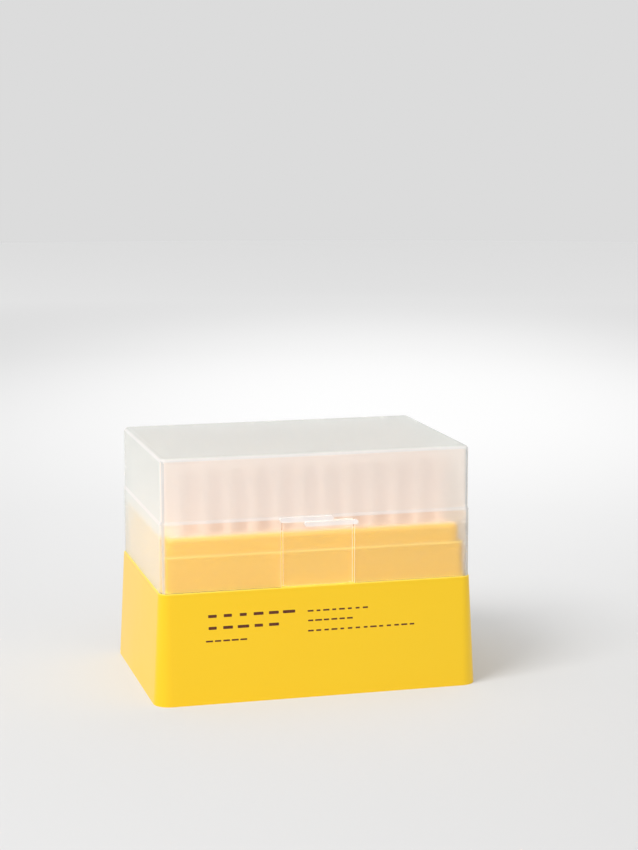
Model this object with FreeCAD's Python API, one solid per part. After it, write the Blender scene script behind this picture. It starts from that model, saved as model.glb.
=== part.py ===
"""A box of pipette tips: a flared yellow base, a drilled tray, ninety-six hollow tips and a frosted lid.

All sizes are in millimetres. +Z is up, X runs along the rows of twelve and Y across the columns of eight,
the front faces -Y, and the origin is the middle of the footprint on the surface that the box stands on.
The plan sizes grow outwards from the grid of tips: tray, rim of the base, lid, shoulder, foot.
The heights grow upwards from the floor: tub, tips, tray, lid.
"""
import FreeCAD, Part
import math
import os

# ---- the grid of tips ----------------------------------------------------------------------------
PITCH = 9.0                  # centre to centre, the laboratory standard for 96 places
COLUMNS = 12                 # along X
ROWS = 8                     # along Y; a column of eight is what an eight-channel pipette picks up

# ---- one tip -------------------------------------------------------------------------------------
TIP_LENGTH = 78.0            # rim to orifice
TIP_STAND = 24.9             # rim above the tray
TIP_SIDES = 6                # flats round a tip: a corner stands for a rib of the collar
COLLAR_LENGTH = 9.0          # ribbed collar, from the rim down
NECK_RADIUS = 2.8            # top of the tapered stem, at the collar's foot
COLLAR_GAIN = 0.7            # radius gained over the collar
MOUTH_WALL = 0.9             # wall at the rim, ribs included
ORIFICE_RADIUS = 0.25
ORIFICE_WALL = 0.25
BORE_OVERRUN = 0.5           # the bore's cone runs past both ends of the tip

# ---- the tray ------------------------------------------------------------------------------------
TRAY_MARGIN_X = 6.15         # outermost tip axis to the tray's top edge
TRAY_MARGIN_Y = 5.0
TRAY_PLATE = 2.0
TRAY_WALL = 1.3
TRAY_DRAFT = 1.0             # degrees
TRAY_CORNER = 2.4            # plan radius at the top
TRAY_ROUND = 2.0             # rounding of the top edge

# ---- the base ------------------------------------------------------------------------------------
SHOULDER_HEIGHT = 41.6       # ledge that the lid stands on
RIM_RISE = 12.8              # rim above the shoulder, inside the lid
RIM_WALL = 1.3               # at the shoulder
RIM_DRAFT = 2.0              # degrees, outer face, so that the lid finds its way down
RIM_CORNER = 3.0
RIM_BEVEL = 0.25
TRAY_CLEARANCE = 0.15        # tray inside the rim
LEDGE = 0.5                  # shoulder proud of the lid
SHOULDER_CORNER = 4.0
SHOULDER_BEVEL = 0.35
FLARE = 2.95                 # degrees, outer skirt
BASE_WALL = 1.6              # skirt, shelf and floor
TUB_WALL = 1.5
TUB_STEP = 2.4               # shelf inside the rim that carries the tray
TUB_CORNER = 2.0
TUB_LIFT = 1.5               # the tub's floor is clear of the ground, so the skirt's edge takes the weight
TIP_FLOOR_SPACE = 5.3        # tip ends above the floor
STIFFENER = 1.2              # thickness of the webs between tub and skirt
STIFFENER_LIFT = 3.0         # their lower edges above the ground
LONG_SIDE_WEBS = 4
SHORT_SIDE_WEBS = 2

# ---- the lid -------------------------------------------------------------------------------------
LID_WALL = 1.2
LID_TOP = 1.5
LID_CLEARANCE = 0.3          # lid outside the rim
LID_CORNER = 3.0
LID_ROUND = 1.6              # rounding of the top edge
HEAD_SPACE = 3.2             # ceiling above the tips
STEP_RISE = 25.25            # the lid's outer step above the shoulder
STEP_DEPTH = 0.35
STEP_TALL = 1.2

# ---- the latches, one at the front and one at the back -------------------------------------------
LATCH_WIDTH = 26.5
SLIT = 0.7
LATCH_FOOT_GAP = 0.3         # tongue above the shoulder
ROOT_DROP = 1.45             # the tongue bends this far below the lid's step
ROOT_GAP = 0.05              # running clearance between the tongue's rounded top and the window
BAR_LENGTH = 20.4            # two finger bars, one on the lid and one on the tongue
BAR_TALL = 1.6
BAR_PROUD = 1.6
BAR_STAGGER = 9.4            # centre to centre along X
BAR_END_SHARE = 0.35         # bevel of a bar's end as a share of its height
BAR_SINK = 0.5               # how far a bar's foot is buried in its wall
BAR_RELIEF = 0.2             # behind the end of the tongue's bar, where it laps over the lid
TONGUE_BAR_LIFT = 0.3        # top of the tongue's bar above its bend line
BEAD_WIDTH = 20.0            # bead inside the tongue that grips the rim
BEAD_TALL = 1.4
BEAD_PROUD = 0.2
CATCH_RISE = 5.0             # its centre above the shoulder

LEVEL_TOLERANCE = 1e-4

# ---- worked-out places ---------------------------------------------------------------------------
grid_x = (COLUMNS - 1) * PITCH / 2
grid_y = (ROWS - 1) * PITCH / 2

floor_top = TUB_LIFT + BASE_WALL
tip_foot_z = floor_top + TIP_FLOOR_SPACE
tip_rim_z = tip_foot_z + TIP_LENGTH
tray_top_z = tip_rim_z - TIP_STAND
rim_top_z = SHOULDER_HEIGHT + RIM_RISE
shelf_under_z = SHOULDER_HEIGHT - BASE_WALL
step_z = SHOULDER_HEIGHT + STEP_RISE
ceiling_z = tip_rim_z + HEAD_SPACE
lid_top_z = ceiling_z + LID_TOP
bend_z = step_z - ROOT_DROP
catch_z = SHOULDER_HEIGHT + CATCH_RISE
window_top_z = bend_z + LID_WALL / 2 + ROOT_GAP

# The stem is one straight taper, so the size of its hole follows from where it crosses the tray's top.
stem_foot_radius = ORIFICE_RADIUS + ORIFICE_WALL
stem_share = (TIP_LENGTH - TIP_STAND) / (TIP_LENGTH - COLLAR_LENGTH)
hole_radius = stem_foot_radius + (NECK_RADIUS - stem_foot_radius) * stem_share


def slope(degrees, rise):
    """How far a drafted wall leans over a rise."""
    return math.tan(math.radians(degrees)) * rise


def grown(half, by):
    """A plan, given as half its length and half its width, made larger all round."""
    return (half[0] + by, half[1] + by)


tray_top_half = (grid_x + TRAY_MARGIN_X, grid_y + TRAY_MARGIN_Y)
tray_foot_half = grown(tray_top_half, slope(TRAY_DRAFT, tray_top_z - SHOULDER_HEIGHT))
rim_inner_half = grown(tray_foot_half, TRAY_CLEARANCE)
rim_half = grown(rim_inner_half, RIM_WALL)
lid_inner_half = grown(rim_half, LID_CLEARANCE)
lid_half = grown(lid_inner_half, LID_WALL)
shoulder_half = grown(lid_half, LEDGE)
foot_half = grown(shoulder_half, slope(FLARE, SHOULDER_HEIGHT))
tub_half = grown(rim_inner_half, -TUB_STEP)


def closed_solid(faces):
    """Sews faces that meet edge to edge into one solid."""
    skin = Part.makeCompound(faces)
    skin.sewShape()
    solid = Part.Solid(skin if skin.ShapeType == "Shell" else Part.Shell(skin.Faces))
    if solid.Volume < 0:
        solid.reverse()
    return solid


def flat_face(points):
    return Part.Face(Part.makePolygon(points + points[:1]))


def block(half, corner, levels):
    """A solid whose plan is a rectangle with round corners and whose sides lean from level to level.

    Each level is an outset from the plan and a height. All the arcs at one corner share a centre, so
    a leaning corner is part of a cone and every other side is flat.
    """
    centres = [FreeCAD.Vector(sx * (half[0] - corner), sy * (half[1] - corner), 0)
               for sx, sy in ((1, 1), (-1, 1), (-1, -1), (1, -1))]

    def on_corner(turn, quarter, outset, z):
        angle = math.radians(90 * quarter)
        radius = corner + outset
        return centres[turn % 4] + FreeCAD.Vector(radius * math.cos(angle), radius * math.sin(angle), z)

    faces = []
    for low, high in zip(levels, levels[1:]):
        for turn in range(4):
            side = Part.LineSegment(on_corner(turn, turn, *low), on_corner(turn, turn, *high)).toShape()
            faces += side.revolve(centres[turn], FreeCAD.Vector(0, 0, 1), 90).Faces
            faces.append(flat_face([
                on_corner(turn, turn + 1, *low), on_corner(turn, turn + 1, *high),
                on_corner(turn + 1, turn + 1, *high), on_corner(turn + 1, turn + 1, *low)]))
    for level in (levels[0], levels[-1]):
        edges = []
        for turn in range(4):
            start, middle, end = (on_corner(turn, turn + part, *level) for part in (0, 0.5, 1))
            edges.append(Part.Arc(start, middle, end).toShape())
            edges.append(Part.LineSegment(end, on_corner(turn + 1, turn + 1, *level)).toShape())
        faces.append(Part.Face(Part.Wire(edges)))
    return closed_solid(faces)


def facets(levels):
    """A solid with TIP_SIDES flats round it; each level is a radius to the corners and a height."""
    rings = []
    for radius, z in levels:
        angles = [2 * math.pi * index / TIP_SIDES for index in range(TIP_SIDES)]
        rings.append([
            FreeCAD.Vector(radius * math.cos(angle), radius * math.sin(angle), z) for angle in angles])
    faces = [flat_face(rings[0]), flat_face(rings[-1])]
    for low, high in zip(rings, rings[1:]):
        for index in range(TIP_SIDES):
            after = (index + 1) % TIP_SIDES
            faces.append(flat_face([low[index], low[after], high[after], high[index]]))
    return closed_solid(faces)


def box(low, high):
    size = FreeCAD.Vector(*high) - FreeCAD.Vector(*low)
    return Part.makeBox(size.x, size.y, size.z, FreeCAD.Vector(*low))


def rounded_at(solid, z, radius):
    """The solid with every edge at one height rounded."""
    def is_level(edge):
        return max(abs(edge.BoundBox.ZMin - z), abs(edge.BoundBox.ZMax - z)) < LEVEL_TOLERANCE

    return solid.makeFillet(radius, [edge for edge in solid.Edges if is_level(edge)])


def turned_to_back(shape):
    """The same shape at the back: half a turn round Z."""
    copy = shape.copy()
    copy.rotate(FreeCAD.Vector(0, 0, 0), FreeCAD.Vector(0, 0, 1), 180)
    return copy


def make_base():
    """One moulding: an inner tub hung from a shelf, a flared skirt, and the rim that the lid fits over."""
    skirt = block(shoulder_half, SHOULDER_CORNER, [
        (slope(FLARE, SHOULDER_HEIGHT), 0),
        (slope(FLARE, SHOULDER_BEVEL), SHOULDER_HEIGHT - SHOULDER_BEVEL),
        (-SHOULDER_BEVEL, SHOULDER_HEIGHT)])
    rim_lean = slope(RIM_DRAFT, RIM_RISE - RIM_BEVEL)
    rim = block(rim_half, RIM_CORNER, [
        (0, SHOULDER_HEIGHT), (-rim_lean, rim_top_z - RIM_BEVEL), (-rim_lean - RIM_BEVEL, rim_top_z)])
    well = block(tub_half, TUB_CORNER, [(0, floor_top), (0, SHOULDER_HEIGHT)])
    rim_hollow = block(
        rim_inner_half, RIM_CORNER - RIM_WALL, [(0, SHOULDER_HEIGHT), (0, rim_top_z + RIM_RISE)])

    # The space under the shelf, between tub and skirt, is open at the bottom and crossed by webs.
    under = block(grown(shoulder_half, -BASE_WALL), SHOULDER_CORNER - BASE_WALL, [
        (slope(FLARE, SHOULDER_HEIGHT), 0), (slope(FLARE, BASE_WALL), shelf_under_z)])
    tub_outside = block(grown(tub_half, TUB_WALL), TUB_CORNER + TUB_WALL, [(0, TUB_LIFT), (0, shelf_under_z)])
    webs = []
    for index in range(LONG_SIDE_WEBS):
        x = (index + 0.5 - LONG_SIDE_WEBS / 2) * 2 * tub_half[0] / LONG_SIDE_WEBS
        webs.append(box((x - STIFFENER / 2, -foot_half[1], STIFFENER_LIFT),
                        (x + STIFFENER / 2, foot_half[1], shelf_under_z)))
    for index in range(SHORT_SIDE_WEBS):
        y = (index + 0.5 - SHORT_SIDE_WEBS / 2) * 2 * tub_half[1] / SHORT_SIDE_WEBS
        webs.append(box((-foot_half[0], y - STIFFENER / 2, STIFFENER_LIFT),
                        (foot_half[0], y + STIFFENER / 2, shelf_under_z)))
    under = under.cut([tub_outside] + webs)
    return skirt.fuse(rim).cut([well, rim_hollow, under]).removeSplitter()


def make_tip():
    """One hollow tip: a collar, and a long tapered stem that wedges in the tray, down to the orifice."""
    rim_radius = NECK_RADIUS + COLLAR_GAIN
    outside = facets([
        (stem_foot_radius, tip_foot_z), (NECK_RADIUS, tip_rim_z - COLLAR_LENGTH), (rim_radius, tip_rim_z)])
    mouth_radius = rim_radius - MOUTH_WALL
    overrun_gain = (mouth_radius - ORIFICE_RADIUS) / TIP_LENGTH * BORE_OVERRUN
    bore = facets([
        (ORIFICE_RADIUS - overrun_gain, tip_foot_z - BORE_OVERRUN),
        (mouth_radius + overrun_gain, tip_rim_z + BORE_OVERRUN)])
    return outside.cut(bore)


def column_of(piece, index):
    """Eight copies of a piece, one at each place of a column, front to back."""
    copies = []
    for row in range(ROWS):
        copy = piece.copy()
        copy.translate(FreeCAD.Vector(index * PITCH - grid_x, row * PITCH - grid_y, 0))
        copies.append(copy)
    return copies


def make_tray():
    """A drilled plate with a deep skirt that stands on the shelf inside the rim."""
    tray = block(tray_top_half, TRAY_CORNER, [
        (slope(TRAY_DRAFT, tray_top_z - SHOULDER_HEIGHT), SHOULDER_HEIGHT), (0, tray_top_z)])
    tray = rounded_at(tray, tray_top_z, TRAY_ROUND)
    plate_under_z = tray_top_z - TRAY_PLATE
    hollow = block(grown(tray_top_half, -TRAY_WALL), TRAY_CORNER - TRAY_WALL, [
        (0, SHOULDER_HEIGHT), (0, plate_under_z)])
    hole = facets([(hole_radius, plate_under_z - TRAY_PLATE), (hole_radius, tray_top_z + TRAY_PLATE)])
    holes = []
    for index in range(COLUMNS):
        holes += column_of(hole, index)
    return tray.cut([hollow] + holes)


def finger_bar(centre_x, low_z, inner_y, outer_y):
    """A flat bar with bevelled ends that stands out towards the front."""
    bar = box((centre_x - BAR_LENGTH / 2, outer_y, low_z),
              (centre_x + BAR_LENGTH / 2, inner_y, low_z + BAR_TALL))
    ends = [edge for edge in bar.Edges if edge.BoundBox.YLength > (inner_y - outer_y) / 2]
    return bar.makeChamfer(BAR_TALL * BAR_END_SHARE, ends)


def make_lid():
    """One frosted moulding: a plain tall upper part, a step, and a wider foot that slips over the rim."""
    def shell(half, corner, high_z):
        return block(half, corner, [
            (0, SHOULDER_HEIGHT), (0, step_z), (-STEP_DEPTH, step_z + STEP_TALL), (-STEP_DEPTH, high_z)])

    outside = rounded_at(shell(lid_half, LID_CORNER, lid_top_z), lid_top_z, LID_ROUND)
    inside = shell(lid_inner_half, LID_CORNER - LID_WALL, ceiling_z)
    window_x = LATCH_WIDTH / 2 + SLIT
    window = box((-window_x, -lid_half[1] - LID_WALL, SHOULDER_HEIGHT - LID_WALL),
                 (window_x, -lid_inner_half[1] + LID_WALL, window_top_z))
    bar = finger_bar(-BAR_STAGGER / 2, window_top_z, -lid_half[1] + BAR_SINK, -lid_half[1] - BAR_PROUD)
    walls = outside.cut([inside, window, turned_to_back(window)])
    return walls.fuse([bar, turned_to_back(bar)]).removeSplitter()


def make_front_latch():
    """The tongue between the slits: it bends outwards at its rounded top and bears a bar and a catch bead."""
    outer_y = -lid_half[1]
    inner_y = -lid_inner_half[1]
    foot_z = SHOULDER_HEIGHT + LATCH_FOOT_GAP

    def at(y, z):
        return FreeCAD.Vector(-LATCH_WIDTH / 2, y, z)

    middle_y = (inner_y + outer_y) / 2
    side = Part.Face(Part.Wire([
        Part.LineSegment(at(outer_y, foot_z), at(inner_y, foot_z)).toShape(),
        Part.LineSegment(at(inner_y, foot_z), at(inner_y, bend_z)).toShape(),
        Part.Arc(at(inner_y, bend_z), at(middle_y, bend_z + LID_WALL / 2), at(outer_y, bend_z)).toShape(),
        Part.LineSegment(at(outer_y, bend_z), at(outer_y, foot_z)).toShape(),
    ]))
    tongue = side.extrude(FreeCAD.Vector(LATCH_WIDTH, 0, 0))

    bar_low_z = bend_z + TONGUE_BAR_LIFT - BAR_TALL
    bar = finger_bar(BAR_STAGGER / 2, bar_low_z, outer_y + BAR_SINK, outer_y - BAR_PROUD)
    far_x = BAR_STAGGER + BAR_LENGTH
    beyond_slit = box((LATCH_WIDTH / 2, outer_y - BAR_RELIEF, bar_low_z - BAR_TALL),
                      (far_x, inner_y, bar_low_z + 2 * BAR_TALL))
    over_bend = box((-far_x, outer_y, bend_z), (far_x, inner_y, bend_z + BAR_TALL))
    bar = bar.cut([beyond_slit, over_bend])
    bead = box((-BEAD_WIDTH / 2, middle_y, catch_z - BEAD_TALL / 2),
               (BEAD_WIDTH / 2, inner_y + BEAD_PROUD, catch_z + BEAD_TALL / 2))
    return tongue.fuse([bar, bead]).removeSplitter()


def save(name, shape):
    broken = [solid for solid in shape.Solids if not solid.isValid() or solid.Volume <= 0]
    if broken or not shape.Solids:
        raise ValueError(f"{name}: {len(broken)} of {len(shape.Solids)} solids are broken")
    shape.exportStep(f"parts/{name}.step")
    volume = sum(solid.Volume for solid in shape.Solids)
    print(f"{name}: {len(shape.Solids)} solid(s), {volume:.1f} mm3")


os.makedirs("parts", exist_ok=True)
save("base", make_base())
save("tip_tray", make_tray())
one_tip = make_tip()
for number in range(COLUMNS):
    save(f"tips_column_{number + 1:02d}", Part.makeCompound(column_of(one_tip, number)))
save("lid", make_lid())
front_latch = make_front_latch()
save("front_latch", front_latch)
save("rear_latch", turned_to_back(front_latch))
for place, half in (("foot", foot_half), ("shoulder", shoulder_half), ("lid", lid_half)):
    print(f"{place}: {2 * half[0]:.2f} x {2 * half[1]:.2f}")
print(f"height: {lid_top_z:.2f}")
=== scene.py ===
# %% [markdown]
# # A box of pipette tips
#
# Pipette tips are sold standing in a rack: a moulded base, a drilled tray on top of it, ninety-six hollow
# tips in the holes, and a frosted lid that keeps dust out. This lesson dresses the engineering model of
# such a box. The model comes in as a fixed frame, in metres, with +Z up and the front facing -Y. The plastic
# pieces take their places from the frame.

import math

import bmesh
import bpy
from mathutils import Matrix, Vector
from mathutils.bvhtree import BVHTree


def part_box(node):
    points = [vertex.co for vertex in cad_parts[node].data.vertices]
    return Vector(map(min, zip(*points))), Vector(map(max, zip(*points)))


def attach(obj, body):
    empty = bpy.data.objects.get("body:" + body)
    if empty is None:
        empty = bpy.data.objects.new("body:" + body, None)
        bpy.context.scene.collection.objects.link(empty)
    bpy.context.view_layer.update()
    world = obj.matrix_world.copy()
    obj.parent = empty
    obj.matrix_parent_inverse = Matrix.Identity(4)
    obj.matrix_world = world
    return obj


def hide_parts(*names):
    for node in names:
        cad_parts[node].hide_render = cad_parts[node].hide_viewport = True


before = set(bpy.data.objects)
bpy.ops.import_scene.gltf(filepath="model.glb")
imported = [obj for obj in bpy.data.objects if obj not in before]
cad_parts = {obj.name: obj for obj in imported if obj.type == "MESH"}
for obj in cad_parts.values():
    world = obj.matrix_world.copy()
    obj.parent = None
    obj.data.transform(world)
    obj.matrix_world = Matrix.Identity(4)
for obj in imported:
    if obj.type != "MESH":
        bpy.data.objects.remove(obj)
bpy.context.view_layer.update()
MM = 0.001

# %% Measure the frame
base_low, base_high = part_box("base")
tray_top_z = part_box("tip_tray")[1].z
lid_low, lid_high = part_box("lid")
column_low, column_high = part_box("tips_column_01")
block_side_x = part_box("tips_column_12")[1].x
shoulder_z = lid_low.z
rim_top_z = base_high.z
tip_rim_z = column_high.z
tip_foot_z = column_low.z
print(f"shoulder {shoulder_z:.4f}, rim {rim_top_z:.4f}, tray {tray_top_z:.4f}, tips up to {tip_rim_z:.4f}")

# %% [markdown]
# ## The camera
#
# A product is often taken with a long lens from a little above, so that its upright edges stay nearly
# upright. The camera is placed by a point and three turns: its heading, how far it looks down, and a trace
# of roll. Angles are easier to read and to change than a matrix.

# %% Camera
CAMERA_PLACE = Vector((-0.1922, -0.7704, 0.2208))
CAMERA_HEADING = math.radians(-14.766)
CAMERA_DOWN = math.radians(8.987)
CAMERA_ROLL = math.radians(-0.088)
CAMERA_LENS = 88.95
CAMERA_NEAR = 0.05

camera = bpy.data.objects.new("camera", bpy.data.cameras.new("camera"))
bpy.context.scene.collection.objects.link(camera)
camera.data.lens = CAMERA_LENS
camera.data.clip_start = CAMERA_NEAR
turn = Matrix.Rotation(CAMERA_HEADING, 4, "Z") @ Matrix.Rotation(math.pi / 2 - CAMERA_DOWN, 4, "X")
camera.matrix_world = Matrix.Translation(CAMERA_PLACE) @ turn @ Matrix.Rotation(CAMERA_ROLL, 4, "Z")
bpy.context.scene.camera = camera
print("camera at", tuple(round(value, 3) for value in CAMERA_PLACE))

# %% [markdown]
# ## Small helpers for materials
#
# A material is a graph of nodes. Two short helpers keep the graphs readable: one adds a node and sets its
# sockets, and one joins an output to an input.

# %% Node helpers
def add_node(tree, kind, **sockets):
    """A node of one kind; each keyword sets the input of that name, with _ for a space."""
    node = tree.nodes.new(kind)
    for name, value in sockets.items():
        node.inputs[name.replace("_", " ")].default_value = value
    return node


def join(tree, output, target):
    tree.links.new(output, target)


def arithmetic(tree, operation, first, second=None, third=None, clamp=False):
    """A Math node; each argument is a number or an output socket."""
    node = tree.nodes.new("ShaderNodeMath")
    node.operation = operation
    node.use_clamp = clamp
    for index, value in enumerate((first, second, third)):
        if value is None:
            continue
        if isinstance(value, (int, float)):
            node.inputs[index].default_value = value
        else:
            join(tree, value, node.inputs[index])
    return node.outputs[0]


def mixed(tree, mask, low, high):
    """A colour between two; the mask and each colour is a value or an output socket."""
    node = tree.nodes.new("ShaderNodeMix")
    node.data_type = "RGBA"
    for socket, value in ((node.inputs[0], mask), (node.inputs[6], low), (node.inputs[7], high)):
        if isinstance(value, bpy.types.NodeSocket):
            join(tree, value, socket)
        else:
            socket.default_value = value
    return node.outputs[2]


def placed(tree):
    """Object coordinates, split into X, Y and Z in metres."""
    source = tree.nodes.new("ShaderNodeTexCoord")
    split = tree.nodes.new("ShaderNodeSeparateXYZ")
    join(tree, source.outputs["Object"], split.inputs[0])
    return source.outputs["Object"], split.outputs


def srgb(red, green, blue):
    """A colour given as it looks on a screen, 0 to 255, turned into the linear values that nodes use."""
    def linear(value):
        share = value / 255
        return share / 12.92 if share <= 0.04045 else ((share + 0.055) / 1.055) ** 2.4

    return (linear(red), linear(green), linear(blue), 1.0)


print("node helpers ready")

# %% [markdown]
# ## Two effects that the plastics share
#
# Every moulded surface has a faint orange-peel texture from the tool's spark-eroded steel, and its
# roughness drifts a little from place to place. That is one shader group, *moulded skin*. The other group,
# *height band*, marks a thin belt at one height: a painted highlight puts a pale line along a moulded edge,
# and a belt places that line.

# %% Shader groups
def new_group(name, inputs, outputs):
    """A shader node group with float inputs, given with their defaults, and float outputs."""
    tree = bpy.data.node_groups.new(name, "ShaderNodeTree")
    for label, default in inputs:
        socket = tree.interface.new_socket(label, in_out="INPUT", socket_type="NodeSocketFloat")
        socket.default_value = default
    for label in outputs:
        tree.interface.new_socket(label, in_out="OUTPUT", socket_type="NodeSocketFloat")
    return tree, tree.nodes.new("NodeGroupInput"), tree.nodes.new("NodeGroupOutput")


def make_moulded_skin():
    tree, given, result = new_group(
        "moulded skin", [("Grain", 2600.0), ("Drift", 40.0), ("Roughness", 0.3), ("Spread", 0.1)],
        ["Roughness", "Height"])
    where = tree.nodes.new("ShaderNodeTexCoord").outputs["Object"]
    grain = add_node(tree, "ShaderNodeTexNoise", Detail=3.0)
    drift = add_node(tree, "ShaderNodeTexNoise", Detail=2.0)
    for noise, size in ((grain, "Grain"), (drift, "Drift")):
        join(tree, where, noise.inputs["Vector"])
        join(tree, given.outputs[size], noise.inputs["Scale"])
    swing = arithmetic(tree, "SUBTRACT", drift.outputs[0], 0.5)
    level, spread = given.outputs["Roughness"], given.outputs["Spread"]
    rough = arithmetic(tree, "MULTIPLY_ADD", swing, spread, level, clamp=True)
    join(tree, rough, result.inputs["Roughness"])
    join(tree, grain.outputs[0], result.inputs["Height"])
    return tree


def make_height_band():
    tree, given, result = new_group(
        "height band", [("Middle", 0.0), ("Reach", 0.001)], ["Mask"])
    _, axes = placed(tree)
    away = arithmetic(tree, "ABSOLUTE", arithmetic(tree, "SUBTRACT", axes["Z"], given.outputs["Middle"]))
    share = arithmetic(tree, "DIVIDE", away, given.outputs["Reach"])
    join(tree, arithmetic(tree, "SUBTRACT", 1.0, share, clamp=True), result.inputs["Mask"])
    return tree


moulded_skin = make_moulded_skin()
height_band = make_height_band()


def use_group(tree, group, **sockets):
    node = tree.nodes.new("ShaderNodeGroup")
    node.node_tree = group
    for name, value in sockets.items():
        node.inputs[name].default_value = value
    return node


print("shader groups:", moulded_skin.name, "and", height_band.name)

# %% [markdown]
# ## The yellow plastic
#
# Base and tray are polypropylene, coloured right through. It is smooth and a little waxy: strong colour
# where you look straight at it, and a pale sheen where you look along it. That sheen comes by itself from
# the shader's reflection. Pale belts are painted highlights: a pale line on the shoulder, the rim's edge and
# the tray's edge, and a painted sheen on the tray's top. Above the shoulder the plastic is under the lid, and
# its colour is painted slightly deeper there as shade.
#
# A strong colour stains everything that its light reaches. Is Diffuse Ray tells the shader that another
# surface is gathering its light, and a paler colour for those rays keeps the floor beside the box clean.

# %% Yellow plastic
SKIN_STRENGTH = 0.25


def start_material(name, **sockets):
    """A new material with its Principled shader; keywords are constant sockets."""
    material = bpy.data.materials.new(name)
    material.use_nodes = True
    tree = material.node_tree
    shader = tree.nodes["Principled BSDF"]
    for label, value in sockets.items():
        shader.inputs[label.replace("_", " ")].default_value = value
    return material, tree, shader


def give_skin(tree, shader, depth, **sockets):
    """Joins the moulded skin to a shader's roughness and normal; depth is the bump's height in metres."""
    skin = use_group(tree, moulded_skin, **sockets)
    join(tree, skin.outputs["Roughness"], shader.inputs["Roughness"])
    bump = add_node(tree, "ShaderNodeBump", Strength=SKIN_STRENGTH, Distance=depth)
    join(tree, skin.outputs["Height"], bump.inputs["Height"])
    join(tree, bump.outputs[0], shader.inputs["Normal"])


YELLOW_TONES = (srgb(255, 205, 3), srgb(255, 210, 13))
YELLOW_CLOUDS = 18.0
# Painted shade: above the shoulder, under the lid, the yellow is made slightly deeper.
UNDER_LID_SHADE_YELLOW = srgb(255, 200, 4)
UNDER_LID_SHADE_REACH = 1.5 * MM
# Painted highlights: pale belts of colour along the shoulder, the rim's edge and the tray's edge, and a
# painted sheen on the tray's top.
PAINTED_EDGE_HIGHLIGHTS = (  # middle height, reach, colour
    (shoulder_z, 0.55 * MM, srgb(255, 226, 90)), (rim_top_z, 0.55 * MM, srgb(255, 222, 102)),
    (tray_top_z, 2.2 * MM, srgb(253, 206, 92)), (tray_top_z, 0.3 * MM, srgb(248, 223, 193)))
BOUNCE_PALENESS = 0.68
BOUNCE_TONE = srgb(252, 230, 192)


def make_yellow_plastic():
    material, tree, shader = start_material("yellow plastic", Specular_IOR_Level=0.5)
    where, axes = placed(tree)
    cloud = add_node(tree, "ShaderNodeTexNoise", Scale=YELLOW_CLOUDS, Detail=2.0)
    join(tree, where, cloud.inputs["Vector"])
    open_tone = mixed(tree, cloud.outputs[0], *YELLOW_TONES)
    # Painted shade under the lid, fading in just above the shoulder.
    rise = arithmetic(tree, "SUBTRACT", axes["Z"], shoulder_z)
    under_lid_shade = arithmetic(tree, "DIVIDE", rise, UNDER_LID_SHADE_REACH, clamp=True)
    colour = mixed(tree, under_lid_shade, open_tone, UNDER_LID_SHADE_YELLOW)
    # Each belt paints a highlight at one height.
    for middle, reach, highlight_tone in PAINTED_EDGE_HIGHLIGHTS:
        highlight_belt = use_group(tree, height_band, Middle=middle, Reach=reach)
        colour = mixed(tree, highlight_belt.outputs["Mask"], colour, highlight_tone)
    bounced = tree.nodes.new("ShaderNodeLightPath").outputs["Is Diffuse Ray"]
    washed_out = arithmetic(tree, "MULTIPLY", bounced, BOUNCE_PALENESS)
    colour = mixed(tree, washed_out, colour, BOUNCE_TONE)
    join(tree, colour, shader.inputs["Base Color"])
    give_skin(tree, shader, 0.02 * MM, Roughness=0.3, Spread=0.08)
    return material


yellow_plastic = make_yellow_plastic()
print("made", yellow_plastic.name)

# %% [markdown]
# ## The natural plastic of the tips
#
# Tips are moulded from the same plastic with no colour in it. Light travels inside it, which subsurface
# scattering gives. Near their feet the tips are painted warmer, for the yellow light that the tray bounces
# onto them, and they turn cooler upwards, so the colour goes from one tone to another.
#
# Between the tips light bounces from wall to wall until it is the same all over, and a renderer follows
# only the first few of those bounces. The sides that face into the block get a faint glow in place of the
# rest. It fades out towards the block's outer sides and the tips' mouths.

# %% Natural plastic
# Painted bounce light: the tips are warmer near the yellow tray and turn cooler upwards.
BOUNCE_WARMED_FOOT_TONE = srgb(228, 199, 175)
RIM_TONE = srgb(226, 204, 194)
PAINTED_BOUNCE_REACH = 17 * MM
SCATTER_SHARE = 0.3
SCATTER_REACH = 4 * MM
SCATTER_BY_COLOUR = (1.0, 0.75, 0.55)
INNER_GLOW = 0.16
INNER_DEPTH = 3 * MM
GLOW_TOP_FADE = 14 * MM
GLOW_TONE = srgb(255, 232, 220)
NO_LIGHT = srgb(0, 0, 0)


def depth_in_block(tree, axes):
    """0 at the outer sides and the mouths of the block of tips, 1 well inside it."""
    def share_of(axis, limit, reach):
        inwards = arithmetic(tree, "SUBTRACT", limit, arithmetic(tree, "ABSOLUTE", axis))
        return arithmetic(tree, "DIVIDE", inwards, reach, clamp=True)

    across = share_of(axes["X"], block_side_x, INNER_DEPTH)
    along = share_of(axes["Y"], column_high.y, INNER_DEPTH)
    below = share_of(axes["Z"], tip_rim_z, GLOW_TOP_FADE)
    return arithmetic(tree, "MULTIPLY", arithmetic(tree, "MULTIPLY", across, along), below)


def make_natural_plastic():
    material, tree, shader = start_material(
        "natural plastic", Specular_IOR_Level=0.45, Subsurface_Weight=SCATTER_SHARE,
        Subsurface_Scale=SCATTER_REACH, Subsurface_Radius=SCATTER_BY_COLOUR, Emission_Strength=INNER_GLOW)
    _, axes = placed(tree)
    # Painted warm bounce light near the tray, fading upwards.
    rise = arithmetic(tree, "SUBTRACT", axes["Z"], tray_top_z)
    bounce_fade = arithmetic(tree, "DIVIDE", rise, PAINTED_BOUNCE_REACH, clamp=True)
    join(tree, mixed(tree, bounce_fade, BOUNCE_WARMED_FOOT_TONE, RIM_TONE), shader.inputs["Base Color"])
    glow = mixed(tree, depth_in_block(tree, axes), NO_LIGHT, GLOW_TONE)
    join(tree, glow, shader.inputs["Emission Color"])
    give_skin(tree, shader, 0.01 * MM, Roughness=0.26, Spread=0.06)
    return material


natural_plastic = make_natural_plastic()
print("made", natural_plastic.name)
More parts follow.
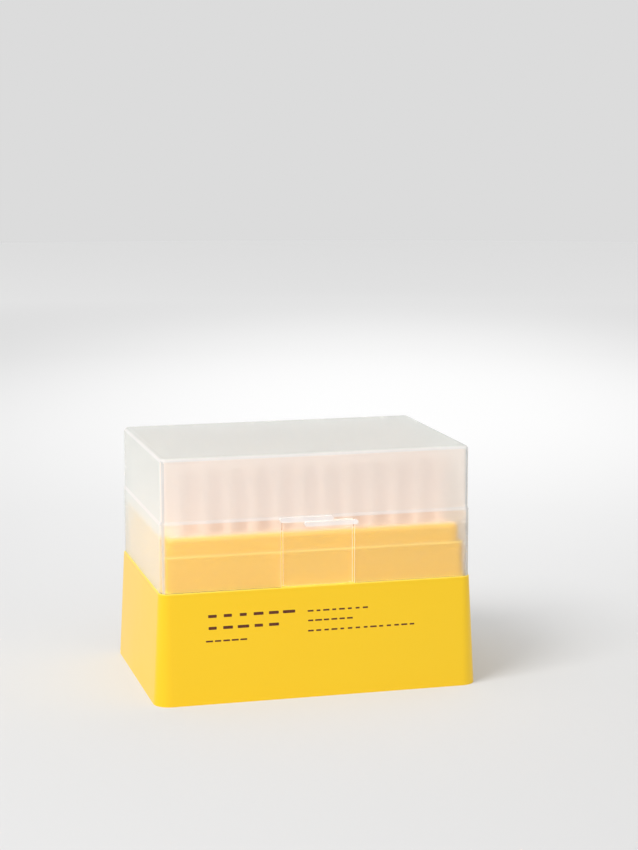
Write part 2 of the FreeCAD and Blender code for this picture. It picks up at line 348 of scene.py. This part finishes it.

# %% [markdown]
# ## The frosted plastic of the lid
#
# The lid is a thin wall of the same plastic with a frosted skin. A frosted wall blurs what is far behind it
# and leaves what nearly touches it readable, and it turns milky where you look along it. Rough transmission
# does the blurring. Alpha lets a share of the light pass straight through, and the Layer Weight node closes
# that share at grazing angles. Light that falls through a milky wall still arrives on the other side,
# scattered, so the wall throws no dark shadow: for shadow rays its alpha is 0.
#
# One recipe gives eight finishes, and all but the corners' carry a faint painted glow for light scattered in
# the wall. Below the lid's step a long wall is clear enough for the rim to show through it, and above the
# tray it turns milkier and a stronger, warm painted glow stands for the light of the tips. Above the step the
# long walls are milky outside. The top and the ends have a cooler tone outside, a painted reflection, and the
# ends have a lining of their own inside, whose painted glow stands for light coming in through them. The step
# and the top's rounded edges carry a painted highlight, the finger bars are thick, the slits' cut edges carry
# a painted highlight, and the round corners are painted with a grey line.

# %% Frosted plastic
FROSTED_FACING = 0.82
FROSTING_REACH = 2 * MM
WALL_GRAZING = 1.0
WALL_SHADE = 0.0
GRAZING_BLEND = 0.35
GRAZING_POWER = 2.0
WALL_COAT = 0.7
WALL_COAT_ROUGHNESS = 0.1
# Painted glow: WALL_LIGHT at each finish's glow strength stands for light scattered in the wall, and
# BAND_GLOW above the tray for the tips' warm light.
WALL_LIGHT = srgb(250, 250, 250)
BAND_GLOW = 0.085
BAR_PROUD = 1.6 * MM
WALL_Y = lid_high.y - BAR_PROUD


def alpha_of_wall(tree, straight):
    """How much of the light a wall stops: straight is that share face on, a number or an output socket."""
    weight = add_node(tree, "ShaderNodeLayerWeight", Blend=GRAZING_BLEND)
    grazing = arithmetic(tree, "POWER", weight.outputs["Facing"], GRAZING_POWER)
    left_over = arithmetic(tree, "SUBTRACT", WALL_GRAZING, straight)
    veil = arithmetic(tree, "MULTIPLY_ADD", grazing, left_over, straight, clamp=True)
    shading = tree.nodes.new("ShaderNodeLightPath").outputs["Is Shadow Ray"]
    share = arithmetic(tree, "MULTIPLY_ADD", shading, WALL_SHADE - 1.0, 1.0)
    return arithmetic(tree, "MULTIPLY", veil, share)


def make_frosted_plastic(name, facing, clear, rough, glow, tone, band=None):
    """One finish of the frosted plastic.

    facing is its alpha face on, clear its transmission, rough its roughness, and glow the strength of its
    painted glow. Above the tray a finish that is clearer than FROSTED_FACING turns as milky as that.
    With a band its painted glow also gets stronger there, by BAND_GLOW, and turns to that tone, for the warm
    light of the tips.
    """
    material, tree, shader = start_material(
        name, Base_Color=tone, Transmission_Weight=clear, IOR=1.49, Coat_Weight=WALL_COAT,
        Coat_Roughness=WALL_COAT_ROUGHNESS, Emission_Color=WALL_LIGHT,
        Emission_Strength=glow + (BAND_GLOW if band else 0.0))
    straight = facing
    if facing < FROSTED_FACING:
        _, axes = placed(tree)
        rise = arithmetic(tree, "SUBTRACT", axes["Z"], tray_top_z)
        frosting = arithmetic(tree, "DIVIDE", rise, FROSTING_REACH, clamp=True)
        straight = arithmetic(tree, "MULTIPLY_ADD", frosting, FROSTED_FACING - facing, facing)
        if band:
            part = glow / (glow + BAND_GLOW)
            join(tree, mixed(tree, frosting, (part, part, part, 1.0), band), shader.inputs["Emission Color"])
    join(tree, alpha_of_wall(tree, straight), shader.inputs["Alpha"])
    give_skin(tree, shader, 0.01 * MM, Roughness=rough, Spread=0.06)
    return material


print("lid wall at", round(WALL_Y, 5))

# %% The eight finishes
frosted_plastic = make_frosted_plastic(
    "frosted plastic", facing=0.5, clear=0.9, rough=0.45, glow=0.02, tone=srgb(252, 250, 247),
    band=srgb(255, 228, 204))
milky_plastic = make_frosted_plastic(
    "milky frosted plastic", facing=0.94, clear=0.47, rough=0.7, glow=0.03, tone=srgb(249, 242, 235))
bar_plastic = make_frosted_plastic(
    "thick frosted plastic", facing=0.95, clear=0.3, rough=0.3, glow=0.1, tone=srgb(246, 244, 243))
# Painted highlight: the slits' cut edges get a pale tone and the strongest glow.
slit_highlight_plastic = make_frosted_plastic(
    "cut frosted plastic", facing=0.9, clear=0.1, rough=0.5, glow=0.13, tone=srgb(252, 230, 211))
# Painted highlight: a paler, glowing finish on the step and on the top's rounded edges.
step_and_edge_highlight_plastic = make_frosted_plastic(
    "stepped frosted plastic", facing=0.75, clear=0.4, rough=0.35, glow=0.05, tone=srgb(248, 248, 247))
# Painted shade: the round corners get a darker grey tone, a painted line where the rounded wall bends the
# light.
grey_corner_line_plastic = make_frosted_plastic(
    "rounded frosted plastic", facing=0.9, clear=0.45, rough=0.3, glow=0.0, tone=srgb(218, 220, 222))
# Its cooler tone is a painted reflection: the top and the ends are made greyer, as if they mirror the sky at
# grazing angles.
end_plastic = make_frosted_plastic(
    "outer frosted plastic", facing=0.6, clear=0.6, rough=0.45, glow=0.03, tone=srgb(240, 248, 244))
# The lining's glow is painted light, for the light that comes in through the ends.
lining_plastic = make_frosted_plastic(
    "inner frosted plastic", facing=0.35, clear=0.45, rough=0.5, glow=0.065, tone=srgb(246, 239, 232))
LID_FINISHES = [frosted_plastic, milky_plastic, bar_plastic, slit_highlight_plastic, step_and_edge_highlight_plastic, grey_corner_line_plastic,
                end_plastic, lining_plastic]
print("lid finishes:", ", ".join(finish.name for finish in LID_FINISHES))

# %% [markdown]
# ## Smooth copies of the moulded parts
#
# The frame's meshes are loose triangles, so each would shade as a flat facet. A copy with its points merged
# can be shaded smooth, with every real edge kept sharp by its angle. The copy stands for the frame's node.

# %% Smooth copies
SHARP_ANGLE = math.radians(24)
MERGE_DISTANCE = 0.002 * MM


def smooth_copy(node_name, name, body, materials, choose=None):
    """A merged, smooth-shaded copy of a frame node, which it replaces; choose picks a face's material."""
    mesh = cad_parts[node_name].data.copy()
    mesh.materials.clear()
    for material in materials:
        mesh.materials.append(material)
    work = bmesh.new()
    work.from_mesh(mesh)
    bmesh.ops.remove_doubles(work, verts=work.verts, dist=MERGE_DISTANCE)
    work.normal_update()
    for face in work.faces:
        face.smooth = True
        face.material_index = materials.index(choose(face)) if choose else 0
    for edge in work.edges:
        edge.smooth = len(edge.link_faces) == 2 and edge.calc_face_angle(0.0) < SHARP_ANGLE
    work.to_mesh(mesh)
    work.free()
    piece = bpy.data.objects.new(name, mesh)
    bpy.context.scene.collection.objects.link(piece)
    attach(piece, body)
    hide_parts(node_name)
    print(f"{name}: {len(mesh.polygons)} faces")


print("edges of", round(math.degrees(SHARP_ANGLE)), "degrees or more stay sharp")

# %% Which finish a face of the lid has
BAR_MARGIN = 0.05 * MM
SLIT_REACH = 15 * MM
STEP_RISE = 25.25 * MM
STEP_TALL = 1.2 * MM
STEP_LOW = shoulder_z + STEP_RISE
STEP_HIGH = STEP_LOW + STEP_TALL
TOP_EDGE = (0.3, 0.85)
CORNER_LINE = (math.sin(math.radians(27)), math.sin(math.radians(51)))
STRAIGHT = 0.9
LEANING = 0.5


def lid_finish(face):
    """The finish of a face of the lid or a tongue, told by where it lies and which way it looks."""
    middle, normal = face.calc_center_median(), face.normal
    along_x = abs(normal.x) > STRAIGHT
    if abs(middle.y) > WALL_Y + BAR_MARGIN:
        return bar_plastic
    # The sides of the slits get the painted highlight.
    if abs(middle.x) < SLIT_REACH and along_x:
        return slit_highlight_plastic
    outwards = normal.x * middle.x + normal.y * middle.y > 0 or normal.z > LEANING
    if not outwards:
        return lining_plastic if along_x else frosted_plastic
    # Faces turned about halfway round a corner get the painted grey line.
    if abs(normal.z) < LEANING and CORNER_LINE[0] < abs(normal.x) < CORNER_LINE[1]:
        return grey_corner_line_plastic
    # The step's belt and the top's rounded edges get the painted highlight.
    if STEP_LOW < middle.z < STEP_HIGH or TOP_EDGE[0] < normal.z < TOP_EDGE[1]:
        return step_and_edge_highlight_plastic
    if along_x or normal.z > TOP_EDGE[1]:
        return end_plastic
    return milky_plastic if middle.z > STEP_HIGH else frosted_plastic


smooth_copy("base", "moulded_base", "base", [yellow_plastic])
smooth_copy("tip_tray", "drilled_tray", "base", [yellow_plastic])
smooth_copy("lid", "frosted_lid", "lid", LID_FINISHES, lid_finish)
smooth_copy("front_latch", "front_tongue", "front_latch", LID_FINISHES, lid_finish)
smooth_copy("rear_latch", "rear_tongue", "rear_latch", LID_FINISHES, lid_finish)

# %% [markdown]
# ## One tip
#
# A tip is a body of revolution: a long thin cone with a bore, and a stiff collar at the top. Upright ribs
# on the collar let a pipette's ejector push on it, and keep the mouth round. A profile turned round an axis
# makes the cone; moving every second pair of points outwards on the collar makes the ribs.

# %% Build one tip
RIBS = 8
STEPS_PER_RIB = 4
SIDES = RIBS * STEPS_PER_RIB
COLLAR_LENGTH = 9 * MM
RIM_RADIUS = (column_high.x - column_low.x) / 2
RIB_DEPTH = 0.45 * MM
RIB_SHARE = 0.8
RIB_START = 0.5 * MM
NECK_RADIUS = 2.6 * MM
NECK_FLARE = 0.05 * MM
EDGE_LOOP = 0.4 * MM
ORIFICE_RADIUS = 0.25 * MM
ORIFICE_WALL = 0.25 * MM
MOUTH_WALL = 0.9 * MM
RIM_BAND = 1.1 * MM
RIM_EASE = 0.15 * MM


def tip_profile():
    """Rings up the outside and down the bore: radius, height, and how far the ribs stand out."""
    collar_foot = tip_rim_z - COLLAR_LENGTH
    collar_radius = RIM_RADIUS - RIB_DEPTH
    mouth_radius = RIM_RADIUS - MOUTH_WALL
    bore_middle = (ORIFICE_RADIUS + mouth_radius) / 2
    stem_foot = ORIFICE_RADIUS + ORIFICE_WALL
    rib = RIB_DEPTH * RIB_SHARE
    return [
        (ORIFICE_RADIUS, tip_foot_z, 0), (stem_foot, tip_foot_z, 0),
        ((stem_foot + NECK_RADIUS) / 2, (tip_foot_z + collar_foot) / 2, 0),
        (NECK_RADIUS, collar_foot - EDGE_LOOP, 0), (NECK_RADIUS, collar_foot, 0),
        (NECK_RADIUS + NECK_FLARE, collar_foot + RIB_START, rib),
        (collar_radius, tip_rim_z - RIM_BAND - EDGE_LOOP, rib),
        (RIM_RADIUS - RIM_EASE, tip_rim_z - RIM_BAND, 0), (RIM_RADIUS, tip_rim_z - RIM_BAND + RIM_EASE, 0),
        (RIM_RADIUS, tip_rim_z - RIM_EASE, 0), (RIM_RADIUS - RIM_EASE, tip_rim_z, 0),
        (mouth_radius + RIM_EASE, tip_rim_z, 0), (mouth_radius, tip_rim_z - RIM_EASE, 0),
        (bore_middle, (tip_foot_z + tip_rim_z) / 2, 0)]


def make_one_tip():
    work = bmesh.new()
    rings = []
    for radius, height, rib in tip_profile():
        ring = []
        for step in range(SIDES):
            angle = 2 * math.pi * step / SIDES
            reach = radius + (rib if step % STEPS_PER_RIB in (0, 1) else 0)
            ring.append(work.verts.new((reach * math.cos(angle), reach * math.sin(angle), height)))
        rings.append(ring)
    for low, high in zip(rings, rings[1:] + rings[:1]):
        for step in range(SIDES):
            after = (step + 1) % SIDES
            face = work.faces.new((low[step], low[after], high[after], high[step]))
            face.smooth = True
    bmesh.ops.recalc_face_normals(work, faces=work.faces)
    for edge in work.edges:
        edge.smooth = edge.calc_face_angle(0.0) < SHARP_ANGLE
    mesh = bpy.data.meshes.new("one tip")
    work.to_mesh(mesh)
    work.free()
    return mesh


one_tip = make_one_tip()
print("one tip:", len(one_tip.polygons), "faces")

# %% [markdown]
# ## A column of tips
#
# Ninety-six tips stand on a square grid. Geometry Nodes repeat the one tip along a line of points, with the
# count, the pitch and the place as named inputs. The result is made a plain mesh, one for each column of
# eight, because a column is what an eight-channel pipette picks up.

# %% Geometry Nodes helpers
def new_geometry_tree(name, inputs):
    """A tree that takes and gives a mesh, with more inputs of the given kinds, and their identifiers."""
    tree = bpy.data.node_groups.new(name, "GeometryNodeTree")
    tree.interface.new_socket("Geometry", in_out="INPUT", socket_type="NodeSocketGeometry")
    sockets = {
        label: tree.interface.new_socket(label, in_out="INPUT", socket_type="NodeSocket" + kind).identifier
        for label, kind in inputs}
    tree.interface.new_socket("Geometry", in_out="OUTPUT", socket_type="NodeSocketGeometry")
    return tree, sockets


def copies_on_line(tree, given, offset):
    """The incoming mesh on each point of a line with the inputs Count and Start; gives back the node."""
    line = tree.nodes.new("GeometryNodeMeshLine")
    copies = tree.nodes.new("GeometryNodeInstanceOnPoints")
    for output, target in (
            (given["Count"], line.inputs["Count"]), (given["Start"], line.inputs["Start Location"]),
            (offset, line.inputs["Offset"]), (line.outputs[0], copies.inputs["Points"]),
            (given["Geometry"], copies.inputs["Instance"])):
        join(tree, output, target)
    return copies


def end_tree(tree, given, copies):
    """Makes real meshes of the copies, gives them the input Material and sends them out."""
    real = tree.nodes.new("GeometryNodeRealizeInstances")
    paint = tree.nodes.new("GeometryNodeSetMaterial")
    result = tree.nodes.new("NodeGroupOutput")
    for output, target in (
            (copies.outputs[0], real.inputs[0]), (real.outputs[0], paint.inputs["Geometry"]),
            (given["Material"], paint.inputs["Material"]), (paint.outputs[0], result.inputs[0])):
        join(tree, output, target)


def repeated(mesh, tree, sockets, name, values):
    """Runs a tree on a mesh with the given inputs, and makes the result a plain mesh object of its own."""
    holder = bpy.data.objects.new("holder", mesh)
    bpy.context.scene.collection.objects.link(holder)
    repeat = holder.modifiers.new("repeat", "NODES")
    repeat.node_group = tree
    for label, value in values.items():
        repeat[sockets[label]] = value
    graph = bpy.context.evaluated_depsgraph_get()
    result = bpy.data.meshes.new_from_object(holder.evaluated_get(graph))
    holder.modifiers.clear()
    bpy.data.objects.remove(holder)
    piece = bpy.data.objects.new(name, result)
    bpy.context.scene.collection.objects.link(piece)
    return piece


print("geometry helpers ready")

# %% Geometry Nodes: a row of copies
def make_row_of_copies():
    """A tree that copies the incoming mesh along Y and gives it a material."""
    tree, sockets = new_geometry_tree(
        "row of copies",
        (("Count", "Int"), ("Pitch", "Float"), ("Start", "Vector"), ("Material", "Material")))
    given = tree.nodes.new("NodeGroupInput").outputs
    step = tree.nodes.new("ShaderNodeCombineXYZ")
    join(tree, given["Pitch"], step.inputs["Y"])
    end_tree(tree, given, copies_on_line(tree, given, step.outputs[0]))
    return tree, sockets


row_of_copies, row_sockets = make_row_of_copies()
print("inputs:", sorted(row_sockets))

# %% Make the twelve columns
COLUMN_NODES = sorted(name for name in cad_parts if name.startswith("tips_column_"))
PITCH = 9 * MM
ROWS = round((column_high.y - column_low.y) / PITCH)


def make_column(node_name):
    low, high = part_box(node_name)
    piece = repeated(one_tip, row_of_copies, row_sockets, node_name.replace("tips_column", "tip_column"), {
        "Count": ROWS, "Pitch": PITCH, "Start": ((low.x + high.x) / 2, -(ROWS - 1) * PITCH / 2, 0),
        "Material": natural_plastic})
    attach(piece, "base")
    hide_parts(node_name)
    return piece


columns = [make_column(name) for name in COLUMN_NODES]
print(len(columns), "columns of", ROWS, "tips,", sum(len(c.data.polygons) for c in columns), "faces")

# %% [markdown]
# ## The printed lines
#
# Such a box carries a few lines of ink on its front. Here they are rows of plain dashes that say nothing. A
# row is one rounded dash repeated along a line, each copy as long as a seeded random number says, which is
# again a job for Geometry Nodes. The rows are made upright and then laid on the leaning face of the base.

# %% Ink
INK_TONES = (srgb(62, 26, 14), srgb(118, 58, 24))
INK_GRAIN = 1400.0


def make_ink():
    material, tree, shader = start_material("brown ink", Specular_IOR_Level=0.4)
    where, _ = placed(tree)
    grain = add_node(tree, "ShaderNodeTexNoise", Scale=INK_GRAIN, Detail=1.0)
    join(tree, where, grain.inputs["Vector"])
    join(tree, mixed(tree, grain.outputs[0], *INK_TONES), shader.inputs["Base Color"])
    give_skin(tree, shader, 0.005 * MM, Roughness=0.42, Spread=0.06)
    return material


brown_ink = make_ink()
print("made", brown_ink.name)

# %% One dash
DASH_CORNER = 0.12
DASH_CORNER_STEPS = 4
INK_THICKNESS = 0.02 * MM


def make_one_dash():
    """A rounded bar of unit length along X and unit height along Z, as thick as the ink."""
    outline = []
    for quarter, (side, up) in enumerate(((1, 1), (-1, 1), (-1, -1), (1, -1))):
        for step in range(DASH_CORNER_STEPS + 1):
            angle = math.radians(90) * (quarter + step / DASH_CORNER_STEPS)
            outline.append((side * (0.5 - DASH_CORNER) + DASH_CORNER * math.cos(angle),
                            up * (0.5 - DASH_CORNER) + DASH_CORNER * math.sin(angle)))
    work = bmesh.new()
    rings = [[work.verts.new((x, y, z)) for x, z in outline] for y in (0.0, -INK_THICKNESS)]
    work.faces.new(rings[0])
    work.faces.new(rings[1][::-1])
    for index in range(len(outline)):
        after = (index + 1) % len(outline)
        work.faces.new((rings[0][index], rings[1][index], rings[1][after], rings[0][after]))
    bmesh.ops.recalc_face_normals(work, faces=work.faces)
    mesh = bpy.data.meshes.new("one dash")
    work.to_mesh(mesh)
    work.free()
    return mesh


one_dash = make_one_dash()
print("one dash:", len(one_dash.polygons), "faces")

# %% Geometry Nodes: a row of dashes
DASH_SHARE = (0.42, 0.86)


def make_row_of_dashes():
    """A tree that copies the incoming dash along X, each as long as a random share of its cell."""
    tree, sockets = new_geometry_tree(
        "row of dashes",
        (("Count", "Int"), ("Cell", "Float"), ("Tall", "Float"), ("Seed", "Int"), ("Start", "Vector"),
         ("Material", "Material")))
    given = tree.nodes.new("NodeGroupInput").outputs
    step = tree.nodes.new("ShaderNodeCombineXYZ")
    join(tree, given["Cell"], step.inputs["X"])
    share = tree.nodes.new("FunctionNodeRandomValue")
    share.data_type = "FLOAT"
    lowest, highest = [socket for socket in share.inputs if socket.type == "VALUE" and socket.enabled][:2]
    lowest.default_value, highest.default_value = DASH_SHARE
    join(tree, given["Seed"], share.inputs["Seed"])
    drawn = [socket for socket in share.outputs if socket.enabled][0]
    size = add_node(tree, "ShaderNodeCombineXYZ", Y=1.0)
    join(tree, arithmetic(tree, "MULTIPLY", drawn, given["Cell"]), size.inputs["X"])
    join(tree, given["Tall"], size.inputs["Z"])
    copies = copies_on_line(tree, given, step.outputs[0])
    join(tree, size.outputs[0], copies.inputs["Scale"])
    end_tree(tree, given, copies)
    return tree, sockets


row_of_dashes, dash_sockets = make_row_of_dashes()
print("inputs:", sorted(dash_sockets))

# %% Lay the rows on the base
INK_LIFT = 0.01 * MM
PRINT_ROWS = (  # in mm: left end, right end and middle height above the ground, dash height, cell length
    (-43.0, -8.5, 32.6, 1.1, 5.75), (-43.0, -14.2, 28.2, 1.1, 5.75), (-43.0, -23.8, 23.4, 0.6, 3.2),
    (-4.7, 19.3, 32.3, 0.6, 3.0), (-4.7, 13.3, 28.7, 0.6, 3.0), (-4.7, 37.3, 24.9, 0.6, 3.0))
base_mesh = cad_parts["base"].data
base_tree = BVHTree.FromPolygons(
    [vertex.co for vertex in base_mesh.vertices], [tuple(face.vertices) for face in base_mesh.polygons])


def front_of_base(height):
    """Where the leaning front face of the base is at a height above the ground."""
    return base_tree.ray_cast(Vector((0.0, 2 * base_low.y, height)), Vector((0.0, 1.0, 0.0)))[0].y


def make_print_row(number, left, right, height, tall, cell):
    piece = repeated(one_dash, row_of_dashes, dash_sockets, f"printed_row_{number}", {
        "Count": int((right - left) / cell), "Cell": cell * MM, "Tall": tall * MM, "Seed": number,
        "Start": ((left + cell / 2) * MM, 0.0, height * MM), "Material": brown_ink})
    for vertex in piece.data.vertices:
        vertex.co.y += front_of_base(vertex.co.z) - INK_LIFT
    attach(piece, "base")
    return piece


rows_of_print = [make_print_row(number, *row) for number, row in enumerate(PRINT_ROWS, start=1)]
print(len(rows_of_print), "rows of print")

# %% [markdown]
# ## The floor
#
# A studio table is one pale sheet that fades into the background with no line. This one is a round floor.
# Light from the lamp thins out with distance, so a colour ramp makes the sheet whiter from the middle
# outwards, and at its edge it has the tone of the sky. A lamp behind the product leaves a pool of light on
# such a sheet. The pool is drawn in the sheet's material for the rays that look at it, directly, in a
# reflection or through the lid, and it lights nothing else.

# %% Floor
FLOOR_RADIUS = 2.4
FLOOR_SEGMENTS = 128
FLOOR_TONES = (  # share of the radius, tone
    (0.0, 0.72), (0.14, 0.70), (0.25, 0.737), (0.42, 0.785), (0.62, 0.95), (1.0, 0.962))
POOL_MIDDLE = (0.247, 0.659, 0.0)
POOL_TURN = math.radians(-14.766)
POOL_HALF_WIDTH = 0.579
POOL_HALF_DEPTH = 0.969
POOL_STRENGTH = 0.314


def make_floor():
    work = bmesh.new()
    bmesh.ops.create_circle(work, cap_ends=True, segments=FLOOR_SEGMENTS, radius=FLOOR_RADIUS)
    mesh = bpy.data.meshes.new("floor")
    work.to_mesh(mesh)
    work.free()
    return mesh


def tone_by_distance(tree, where):
    """A colour ramp over the distance from the middle of the floor."""
    away = tree.nodes.new("ShaderNodeVectorMath")
    away.operation = "LENGTH"
    join(tree, where, away.inputs[0])
    share = arithmetic(tree, "DIVIDE", away.outputs["Value"], FLOOR_RADIUS, clamp=True)
    ramp = tree.nodes.new("ShaderNodeValToRGB")
    join(tree, share, ramp.inputs[0])
    stops = ramp.color_ramp.elements
    while len(stops) < len(FLOOR_TONES):
        stops.new(0.5)
    for stop, (place, tone) in zip(stops, FLOOR_TONES):
        stop.position = place
        stop.color = (tone, tone, tone, 1.0)
    return ramp.outputs[0]


def pool_of_light(tree, where):
    """The glow of a soft oval patch, for the rays that look at it."""
    frame_of_pool = add_node(
        tree, "ShaderNodeMapping", Location=POOL_MIDDLE, Rotation=(0.0, 0.0, POOL_TURN),
        Scale=(POOL_HALF_WIDTH, POOL_HALF_DEPTH, 1.0))
    frame_of_pool.vector_type = "TEXTURE"
    ball = tree.nodes.new("ShaderNodeTexGradient")
    ball.gradient_type = "SPHERICAL"
    join(tree, where, frame_of_pool.inputs["Vector"])
    join(tree, frame_of_pool.outputs[0], ball.inputs["Vector"])
    soft = tree.nodes.new("ShaderNodeMapRange")
    soft.interpolation_type = "SMOOTHERSTEP"
    join(tree, ball.outputs["Fac"], soft.inputs["Value"])
    paths = tree.nodes.new("ShaderNodeLightPath")
    looking = arithmetic(tree, "ADD", paths.outputs["Is Camera Ray"], paths.outputs["Is Glossy Ray"])
    looking = arithmetic(tree, "ADD", looking, paths.outputs["Is Transmission Ray"], clamp=True)
    return arithmetic(tree, "MULTIPLY", soft.outputs[0], looking)


def make_paper():
    material, tree, shader = start_material(
        "white paper", Roughness=0.9, Specular_IOR_Level=0.1, Emission_Strength=POOL_STRENGTH)
    where, _ = placed(tree)
    join(tree, tone_by_distance(tree, where), shader.inputs["Base Color"])
    join(tree, pool_of_light(tree, where), shader.inputs["Emission Color"])
    return material


floor = bpy.data.objects.new("floor", make_floor())
bpy.context.scene.collection.objects.link(floor)
floor.data.materials.append(make_paper())
print("floor:", len(floor.data.vertices), "points round its edge")

# %% [markdown]
# ## Light
#
# One large softbox to the left and in front gives the shape its light side and throws a soft shadow to the
# right. An even sky fills the rest, bright enough that a colour renders about as it is written.

# %% Lamps and sky
KEY_PLACE = Vector((-1.05, -0.6, 1.3))
KEY_SIZE = 0.8
KEY_POWER = 17.0
SKY_STRENGTH = 0.735
SKY_TONE = srgb(252, 252, 252)


def make_softbox(name, place, size, power):
    light = bpy.data.lights.new(name, "AREA")
    light.size = size
    light.energy = power
    lamp = bpy.data.objects.new(name, light)
    bpy.context.scene.collection.objects.link(lamp)
    lamp.location = place
    lamp.rotation_euler = (-place).to_track_quat("-Z", "Y").to_euler()


make_softbox("key softbox", KEY_PLACE, KEY_SIZE, KEY_POWER)
world = bpy.data.worlds.new("sky")
bpy.context.scene.world = world
world.use_nodes = True
sky = world.node_tree.nodes["Background"]
sky.inputs["Color"].default_value = SKY_TONE
sky.inputs["Strength"].default_value = SKY_STRENGTH
bpy.context.scene.view_settings.view_transform = "Standard"
print("key", KEY_POWER, "W, sky", SKY_STRENGTH)
